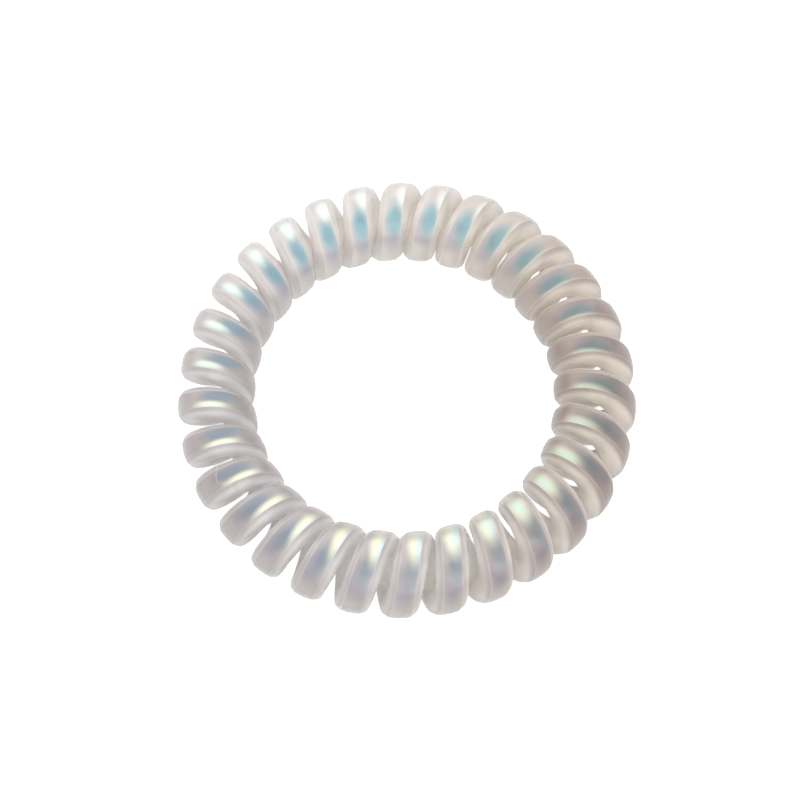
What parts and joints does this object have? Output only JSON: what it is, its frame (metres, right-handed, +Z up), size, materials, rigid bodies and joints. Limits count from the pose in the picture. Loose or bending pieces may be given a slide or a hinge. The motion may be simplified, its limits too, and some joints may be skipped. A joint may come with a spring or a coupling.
{
  "type": "spiral hair tie",
  "caption": "Hair tie made of one translucent pearly plastic cord wound as a close coil whose ends are joined, so that the coil forms a ring that gathers and holds hair.",
  "frame": {"origin": "centre of the ring's outline, on the surface that the hair tie lies on", "axes": "+Z up along the ring's axis, through the opening; +Y along the ring's slightly longer way, which is also the far side in the picture's view"},
  "size_m": [0.0556, 0.0574, 0.0101],
  "materials": {
    "pearl_cord": "frosted translucent plastic with a pearly teal and violet sheen"
  },
  "bodies": {
    "root": {"coil": "pearl_cord"}
  },
  "joints": []
}
